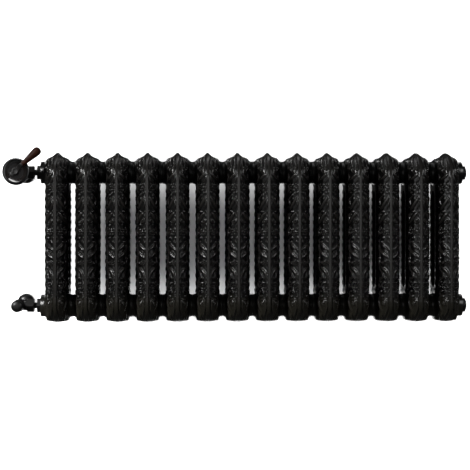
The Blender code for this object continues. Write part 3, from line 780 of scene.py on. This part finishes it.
def hexagon(corner, start, end, keep):
    """Radius of a hexagonal bar whose corners are turned down at both ends; bores below keep stay round."""
    def radius(angle, along, r):
        if r < keep:
            return r
        flat = corner * math.cos(math.pi / 6) / math.cos((angle % (math.pi / 3)) - math.pi / 6)
        from_end = min(along - start, end - along)
        turned_down = corner * (0.895 + 0.105 * min(1.0, max(0.0, from_end / 2.2)) ** 0.6)
        return min(flat, turned_down, corner * 0.985) * min(1.0, r / corner)
    return radius


def hex_profile(corner, start, end, bores):
    """Outer stations of a hexagonal bar, closed through the given bore points."""
    steps = [0, 0.4, 0.9, 1.5, 2.3]
    outer = [(start + s, corner) for s in steps] + [(end - s, corner) for s in steps[::-1]]
    return outer + bores


def build_unions():
    for prefix, centre in (("valve", UPPER), ("lockshield", LOWER)):
        node_name = f"{prefix}_union_nut"
        lo, hi = (v.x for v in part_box(node_name))
        start, end = (lo - centre.x) / MM, (hi - centre.x) / MM
        bores = [(end, 10.0), (end, 8.4), (end - 5, 8.4), (end - 5, 13), (start, 13)]
        nut = Piece()
        nut.turned(hex_profile(NUT_CORNER, start, end, bores), ALONG_X, 0.3, True, HEX_SIDES,
                   radius=hexagon(NUT_CORNER, start, end, 13.5))
        nut.build(f"{prefix}_nut", centre, ["nut"], "radiator", [node_name], 26)


def build_bodies():
    rear = [(5, 16.5), (-9, 16.5), (-16, 14), (-22, 14), (-22, 15.5), (-34, 15.5), (-34, 8.3), (-14, 8.3),
            (-14, 6), (-9, 6), (-9, 9)]
    arm = [(10, 6), (10, 10.5), (17, 10.5), (17, 12.6), (30, 12.6), (30, 6)]
    fronts = (("valve_body", UPPER, [(24, 9), (24, 14), (11, 14)], []),
              ("lockshield_body", LOWER, [(30, 4.3), (30, 11.3), (16, 11.3), (14, 14)], [(12, 9), (12, 4.3)]))
    for name, centre, front, bore in fronts:
        body = Piece()
        body.turned(front + rear + bore, FORWARD, 1.4, True)
        body.turned(arm, ALONG_X, 0.8, True)
        body.build(f"{name}_casting", centre, ["valve"], "radiator", [name])


def build_bonnet():
    bonnet = Piece()
    start, end = BONNET_HEX
    bonnet.turned(hex_profile(BONNET_CORNER, start, end, [(end, 6), (end, 4.3), (start, 4.3)]), FORWARD, 0.3,
                  True, HEX_SIDES, radius=hexagon(BONNET_CORNER, start, end, 8.0))
    sleeve = [(11.3, 4.3), (11.3, 8.7), (33, 8.7), (36, 9), (52, 9), (52, 6), (57, 6), (57, 4.3)]
    bonnet.turned(sleeve, FORWARD, 0.5, True)
    bonnet.build("bonnet", UPPER, ["nut"], "radiator", ["valve_bonnet"], 26)


def build_dial():
    """The dial: a polished rim and back, a dull disc in the middle and a polished dish between them."""
    back, dish, disc = 54, 28.7, 20.3
    profile = [(52.3, 6.3), (52.3, 33), (55.3, 36), (59, 36), (61, 33.5), (60.6, 28.6), (55.4, 20.6),
               (55.3, 6.3)]
    dial = Piece()
    dial.turned(profile, FORWARD, 1.5, True, 120)
    for i, face in enumerate(dial.faces):
        r = sum(math.hypot(dial.verts[v][0], dial.verts[v][2]) for v in face) / len(face)
        ahead = -sum(dial.verts[v][1] for v in face) / len(face)
        dial.mats[i] = 0 if ahead < back or r > dish else 2 if r > disc else 1
    mats = ["dial_rim", "dial_face", "dial_dish"]
    return dial.build("dial", UPPER, mats, "radiator", ["valve_dial"])


def blade_ring(along, ahead, wide, thick):
    """Points round one station of the lever's rounded blade."""
    ring = []
    for i in range(BLADE_SIDES):
        a = 2 * math.pi * i / BLADE_SIDES
        c, s = math.cos(a), math.sin(a)
        w = wide * math.copysign(abs(c) ** 0.6, c)
        t = thick * math.copysign(abs(s) ** 0.6, s)
        ring.append(LEVER_WAY @ Vector((along, 0, w)) + Vector((0, -(ahead + t), 0)))
    return ring


def build_lever():
    """The metal arm: a hub over the dial, a cranked blade and the tang inside the grip."""
    hub = [(75, 0), (75, 4.3), (57.5, 4.3), (57.5, 10), (76.6, 10), (78.5, 8), (78.5, 5), (76.6, 4.4),
           (76.6, 0)]
    lever = Piece()
    lever.turned(hub, FORWARD, 0.7)
    stations = curve_points([(-17.5, 70, 0.3, 0.3), (-17.3, 70, 3.0, 1.8), (-14.5, 70, 5.8, 3),
                             (-9, 70, 7.6, 3.5), (0, 70.2, 8.2, 3.6), (9, 71.8, 7.4, 3.6),
                             (15, 75.2, 6.6, 3.9), (20, 79.8, 6.2, 4.5), (23.5, 81.6, 6.0, 5.0),
                             (25.8, GRIP_AHEAD, 5.9, 5.2)], 5)
    rings = [(blade_ring(*station), BLADE_WEAR) for station in stations]
    ends = [([sum(rings[k][0], Vector()) / BLADE_SIDES], BLADE_WEAR) for k in (0, -1)]
    lever.rings([ends[0]] + rings + [ends[1]])
    tang = Piece()
    tang.turned([(21, 0), (21, 2.5), (70, 2.5), (70, 0)], LEVER_WAY, 0.3, segments=24)
    start = len(lever.verts)
    lever.verts += [v + Vector((0, -GRIP_AHEAD, 0)) for v in tang.verts]
    lever.faces += [tuple(i + start for i in f) for f in tang.faces]
    lever.relief += tang.relief
    lever.mats += tang.mats
    return lever.build("lever", UPPER, ["lever"], "lever", ["valve_lever"])


def build_grip():
    """The wooden grip, turned about the lever's own line and bored for the tang."""
    outline = curve_points([(26.3, 6.2), (30, 6.5), (36, 7.0), (50, 8.5), (63, 10.2), (70, 11.1), (75, 11.4),
                            (80, 11.0), (84, 9.1), (86.5, 6.0), (87.7, 2.6), (87.9, 0.05)], 4)
    bore = [(71, 0), (71, 2.8), (26.3, 2.8), (26.3, 5.9)]
    grip = Piece()
    grip.turned(bore + [tuple(p) for p in outline] + [(88, 0)], LEVER_WAY, 0.15, segments=64)
    centre = UPPER + Vector((0, -GRIP_AHEAD * MM, 0))
    return grip.build("grip", centre, ["wood"], "lever", ["valve_grip"])


def build_cap():
    profile = [(43, 0), (41, 11.6), (18, 11.6), (18, 14.8), (19.2, 16), (23, 16), (23.6, 15.3), (24.8, 15.3),
               (25.4, 16), (38, 15.9), (42, 14.8), (45.4, 12), (47.3, 7.4), (48, 0)]
    cap = Piece()
    cap.turned(profile, FORWARD, 1.2)
    cap.build("cap", LOWER, ["cap"], "cap", ["lockshield_cap"])


def build_wall_tubes():
    for prefix, centre in (("valve", UPPER), ("lockshield", LOWER)):
        wall = -centre.y / MM
        dome = [(14, 8), (13.6, 11), (12, 15.5), (9, 19.6), (5, 22.6), (1.5, 23.5), (0, 23.5), (0, 6.5)]
        tube = Piece()
        tube.turned([(-14.3, 6.5), (-14.3, 8)] + [(out - wall, r) for out, r in dome], FORWARD, 1.0, True)
        tube.build(f"{prefix}_tube", centre, ["valve"], "radiator", [f"{prefix}_wall_tube"])


def build_fittings():
    """Reducing bushings in the left end section and blank plugs in the right one."""
    for level, z in (("upper", UPPER.z), ("lower", LOWER.z)):
        name = f"bushing_{level}"
        lo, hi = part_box(name)
        length = (hi.x - lo.x) / MM
        head = 9.7
        shank = [(head, SHANK), (length, SHANK), (length, 8.1), (0, 8.1)]
        bushing = Piece()
        bushing.turned(hex_profile(FITTING_CORNER, 0, head, shank), ALONG_X, 0.3, True, HEX_SIDES,
                       radius=hexagon(FITTING_CORNER, 0, head, SHANK + 0.2))
        bushing.build(f"{name}_piece", (lo.x, MID_Y, z), ["fitting"], "radiator", [name], 26)
        name = f"plug_{level}"
        lo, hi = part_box(name)
        length = (hi.x - lo.x) / MM
        start, end = length - 12, length - 3
        shank = [(start + 1, 0), (start + 1, 11), (0, 11), (0, SHANK), (start, SHANK)]
        head = hex_profile(FITTING_CORNER, start, end, [(end, 12), (length, 12), (length, 0)])
        plug = Piece()
        plug.turned(shank + head, ALONG_X, 0.3, False, HEX_SIDES,
                    radius=hexagon(FITTING_CORNER, start, end, SHANK + 0.2))
        plug.build(f"{name}_piece", (lo.x, MID_Y, z), ["fitting"], "radiator", [name], 26)


build_unions()
build_bodies()
build_bonnet()
DIAL = build_dial()
LEVER = [build_lever(), build_grip()]
build_cap()
build_wall_tubes()
build_fittings()

# the CAD pieces that show as they are
NODE_MATERIALS = {"nipple": "iron", "valve_tail": "valve", "lockshield_tail": "valve",
                  "valve_spindle": "steel", "lockshield_spindle": "steel"}
for name, obj in frame["nodes"].items():
    for prefix, mat in NODE_MATERIALS.items():
        if name.startswith(prefix):
            for material_slot in obj.material_slots:
                material_slot.material = MATS[mat]


# ---------------------------------------------------------------- scene, in metres

FLOOR_Z = CAD_BOX[0][2] - 0.12       # a low floor under the wall-hung radiator
WALL_Y = 0.002                       # just behind the rosettes
STAGE_REACH, WALL_TOP = 4, 3.5
PAPER = (0.9, 0.9, 0.9)
WORLD_GLOW = 0.035                   # light of the white surroundings on the object
MIDDLE = (0, MID_Y, 0.18)
BEHIND = (-0.1, 0, 0.18)             # on the wall, behind the middle of the radiator

# Lamps: name, place, target, width, watts and, if oblong, height
KEY_LAMP = ("key_left", (-2.1, -2.1, 1.25), MIDDLE, 0.42, 78)
RADIATOR_LAMPS = [
    ("front_card", (0.25, -4.6, 0.55), MIDDLE, 2.6, 11, 1.0),
    ("fill_right", (2.6, -2.2, 1.5), MIDDLE, 0.8, 24),
    ("overhead", (-0.3, 0.1, 2.3), (0, MID_Y, 0.3), 2.2, 6, 0.5),
    ("rear_left", (-2.1, 2.1, 1.9), MIDDLE, 0.7, 20),
    ("rear_right", (2.1, 2.2, 1.9), MIDDLE, 0.8, 7),
    ("rear_card", (0.3, 3.0, -0.75), MIDDLE, 1.2, 10),
]
DIAL_LAMP = ("dial_glint", (-0.95, -0.95, 2.0), (-0.95, UPPER.y, UPPER.z), 2.7, 80, 0.8)
STAGE_LAMP = ("stage_wash", (-0.1, -4.2, 0.5), (-0.1, 0, 0.2), 4.0, 200, 2.6)
WALL_LAMPS = [
    ("wall_wash_top", (-0.1, -1.9, 2.0), BEHIND, 3.4, 60, 1.0),
    ("wall_wash_low", (-0.1, -1.9, -1.64), BEHIND, 3.4, 60, 1.0),
    ("wall_wash_left", (-3.0, -1.6, 0.2), (-0.5, 0, 0.18), 0.6, 170),
    ("wall_wash_right", (1.6, -2.6, 0.2), (0.4, 0, 0.18), 1.2, 40),
]
FLOOR_LAMPS = [
    ("floor_wash", (-0.1, -1.5, 2.4), (-0.1, -0.6, -0.16), 4.0, 600, 2.0),
    ("floor_wash_rear", (-0.1, 3.4, 1.2), (-0.1, 0.8, -0.1), 4.0, 400, 1.5),
]

CAMERA_PLACE = (-0.187, MID_Y - 3.2, 0.206)
CAMERA_TURN = math.radians(1.395)    # to the right of straight ahead
LENS, SENSOR = 91.2, 36              # millimetres
SHIFT_X, SHIFT_Y = 0.05, -0.0138


def area_light(name, place, target, width, watts, height=None):
    data = bpy.data.lights.new(name, "AREA")
    data.energy, data.size = watts, width
    if height:
        data.shape, data.size_y = "RECTANGLE", height
    light = bpy.data.objects.new(name, data)
    light.location = place
    light.rotation_euler = (Vector(target) - Vector(place)).to_track_quat("-Z", "Y").to_euler()
    bpy.context.collection.objects.link(light)
    return light


def link_light(lamp, objects, state="INCLUDE", role="receiver"):
    """Limit a lamp to the given objects, keep it off them, or let it pass through them."""
    group = bpy.data.collections.new(f"{lamp.name}_{role}s")
    for obj in objects:
        group.objects.link(obj)
    for member in group.collection_objects:
        member.light_linking.link_state = state
    setattr(lamp.light_linking, f"{role}_collection", group)


def stage_sheet(name, corners, mat):
    """A sheet of the stage: it shows behind the object but neither lights nor shades it."""
    mesh = bpy.data.meshes.new(name)
    mesh.from_pydata(corners, [], [(0, 1, 2, 3)])
    mesh.materials.append(mat)
    obj = bpy.data.objects.new(name, mesh)
    bpy.context.collection.objects.link(obj)
    obj.visible_diffuse = obj.visible_glossy = obj.visible_shadow = False
    return obj


def one_sided(mat):
    """Seen from its front only, so that the back of the radiator stays in view."""
    tree = mat.node_tree
    mix = tree.nodes.new("ShaderNodeMixShader")
    clear = tree.nodes.new("ShaderNodeBsdfTransparent")
    facing = tree.nodes.new("ShaderNodeNewGeometry")
    out = tree.nodes["Material Output"]
    tree.links.new(facing.outputs["Backfacing"], mix.inputs["Fac"])
    tree.links.new(tree.nodes["Principled BSDF"].outputs["BSDF"], mix.inputs[1])
    tree.links.new(clear.outputs["BSDF"], mix.inputs[2])
    tree.links.new(mix.outputs["Shader"], out.inputs["Surface"])
    return mat


def make_stage():
    near, far = -STAGE_REACH, STAGE_REACH
    floor = stage_sheet("floor", [(near, near, FLOOR_Z), (far, near, FLOOR_Z), (far, far, FLOOR_Z),
                                  (near, far, FLOOR_Z)], paper("floor_paper", PAPER))
    wall = stage_sheet("wall", [(far, WALL_Y, FLOOR_Z), (far, WALL_Y, WALL_TOP), (near, WALL_Y, WALL_TOP),
                                (near, WALL_Y, FLOOR_Z)], one_sided(paper("wall_paper", PAPER)))
    return floor, wall


def make_world():
    """White to the camera, and a faint glow on everything else."""
    world = bpy.data.worlds.new("studio")
    bpy.context.scene.world = world
    world.use_nodes = True
    tree = world.node_tree
    back = tree.nodes["Background"]
    back.inputs["Color"].default_value = (1, 1, 1, 1)
    path = tree.nodes.new("ShaderNodeLightPath")
    tree.links.new(map_range(tree, path.outputs["Is Camera Ray"], WORLD_GLOW, 1.0), back.inputs["Strength"])


def make_lamps(floor, wall):
    """Lamps for the radiator, one for the dial alone, and the rest for the floor and the wall."""
    key = area_light(*KEY_LAMP)
    others = [area_light(*lamp) for lamp in RADIATOR_LAMPS]
    glint = area_light(*DIAL_LAMP)
    link_light(area_light(*STAGE_LAMP), (floor, wall))
    for lamp in WALL_LAMPS:
        link_light(area_light(*lamp), (wall,))
    for lamp in FLOOR_LAMPS:
        link_light(area_light(*lamp), (floor,))
    link_light(glint, (DIAL,))
    link_light(glint, LEVER, "EXCLUDE", "blocker")
    link_light(key, (floor, wall, DIAL), "EXCLUDE")
    for lamp in others:
        link_light(lamp, (floor, wall), "EXCLUDE")


def make_camera():
    scene = bpy.context.scene
    cam = bpy.data.cameras.new("camera")
    cam.sensor_width = SENSOR
    cam.lens = LENS
    cam.shift_x, cam.shift_y = SHIFT_X, SHIFT_Y
    obj = bpy.data.objects.new("camera", cam)
    obj.location = CAMERA_PLACE
    obj.rotation_euler = (math.radians(90), 0, -CAMERA_TURN)
    bpy.context.collection.objects.link(obj)
    scene.camera = obj
    scene.view_settings.view_transform = "Standard"
    scene.view_settings.look = "None"


make_world()
make_lamps(*make_stage())
make_camera()
